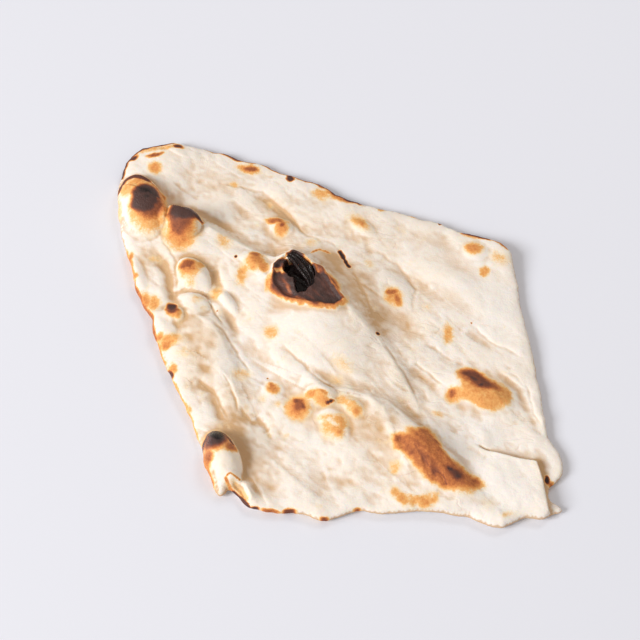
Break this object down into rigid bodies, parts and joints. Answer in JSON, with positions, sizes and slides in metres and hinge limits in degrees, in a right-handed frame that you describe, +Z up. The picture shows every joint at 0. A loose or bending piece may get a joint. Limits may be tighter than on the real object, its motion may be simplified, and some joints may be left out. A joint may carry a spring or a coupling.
{
  "type": "naan",
  "caption": "Torn piece of oven-baked flatbread: a thin wavy leaf with blisters, creases, a burst charred blister and a loose corner flap, lying flat to be served.",
  "frame": {"origin": "under the middle of the piece's box, at the height of the table it lies on", "axes": "+Z up through the thickness, +X to the right of the piece as pictured, +Y to its far side"},
  "size_m": [0.195, 0.194, 0.0152],
  "materials": {
    "crust": "matte baked crust, cream with orange-brown and black scorch marks"
  },
  "bodies": {
    "root": {"naan": "crust"}
  },
  "joints": []
}
